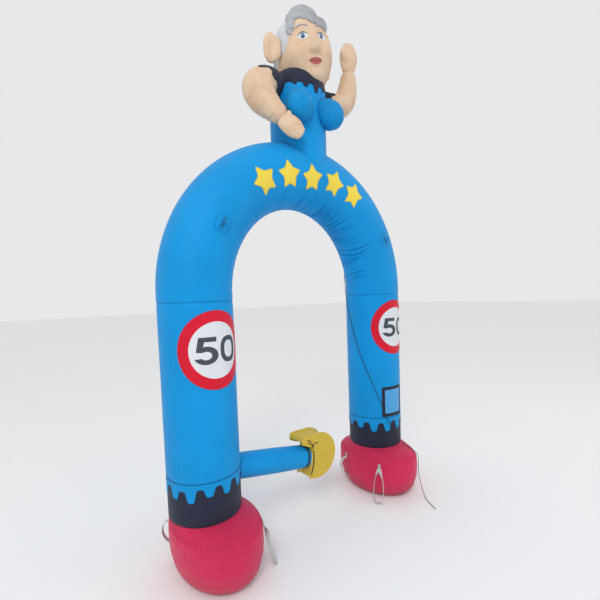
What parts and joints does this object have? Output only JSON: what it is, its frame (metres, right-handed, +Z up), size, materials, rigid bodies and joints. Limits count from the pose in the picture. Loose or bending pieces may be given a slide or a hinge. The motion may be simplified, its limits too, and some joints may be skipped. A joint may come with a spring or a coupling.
{
  "type": "inflatable entrance arch",
  "caption": "Blue inflatable entrance arch on two crimson feet, fed through an air sleeve by a blower, with a waving inflated figure seated on the crown.",
  "frame": {"origin": "on the ground, midway between the two feet", "axes": "+Z up, -Y to the side that the signs and the figure face, +X to the foot that the guy rope runs down to"},
  "size_m": [2.798, 1.2657, 4.8848],
  "materials": {
    "black_webbing": "black braided cord and webbing",
    "blue_cloth": "woven polyester with a soft sheen",
    "crimson_cloth": "woven polyester with a soft sheen",
    "grey_cloth": "woven polyester",
    "grey_webbing": "ribbed webbing",
    "navy_cloth": "woven polyester, matt",
    "pocket_window": "clear film over blue cloth",
    "sign_red": "printed coated cloth",
    "skin_cloth": "airbrushed woven polyester",
    "yellow_moulding": "satin moulding",
    "yellow_print_cloth": "printed cloth"
  },
  "bodies": {
    "root": {"air_sleeve": "blue_cloth", "arch_bend": "blue_cloth", "arm_left": "skin_cloth", "arm_right": "skin_cloth", "band_left": "navy_cloth", "band_right": "navy_cloth", "blower_case": "yellow_moulding", "blower_grille": "black_webbing", "collar_back": "navy_cloth", "collar_front": "navy_cloth", "cup_left": "blue_cloth", "cup_right": "blue_cloth", "drip_left": "blue_cloth", "drip_right": "blue_cloth", "ear_left": "skin_cloth", "ear_right": "skin_cloth", "foot_left": "crimson_cloth", "foot_right": "crimson_cloth", "guy_loop_back_left": "blue_cloth", "guy_loop_back_right": "blue_cloth", "guy_loop_front_left": "blue_cloth", "guy_loop_front_right": "blue_cloth", "guy_patch_back_left": "blue_cloth", "guy_patch_back_right": "blue_cloth", "guy_patch_front_left": "blue_cloth", "guy_patch_front_right": "blue_cloth", "guy_rope": "black_webbing", "hair_back": "grey_cloth", "hair_front": "grey_cloth", "hair_side_left": "grey_cloth", "hair_side_right": "grey_cloth", "hair_top": "grey_cloth", "hand_left": "skin_cloth", "hand_right": "skin_cloth", "head": "skin_cloth", "leg_left": "blue_cloth", "leg_right": "blue_cloth", "loop_front_left": "grey_webbing", "loop_front_right": "grey_webbing", "loop_inner_left": "grey_webbing", "loop_inner_right": "grey_webbing", "loop_outer_left": "grey_webbing", "loop_outer_right": "grey_webbing", "motif_1": "yellow_print_cloth", "motif_2": "yellow_print_cloth", "motif_3": "yellow_print_cloth", "motif_4": "yellow_print_cloth", "motif_5": "yellow_print_cloth", "pocket_frame": "navy_cloth", "pocket_window": "pocket_window", "sign_left": "sign_red", "sign_right": "sign_red", "sleeve_left": "navy_cloth", "sleeve_right": "navy_cloth", "sleeve_strap": "black_webbing", "torso": "blue_cloth"}
  },
  "joints": []
}
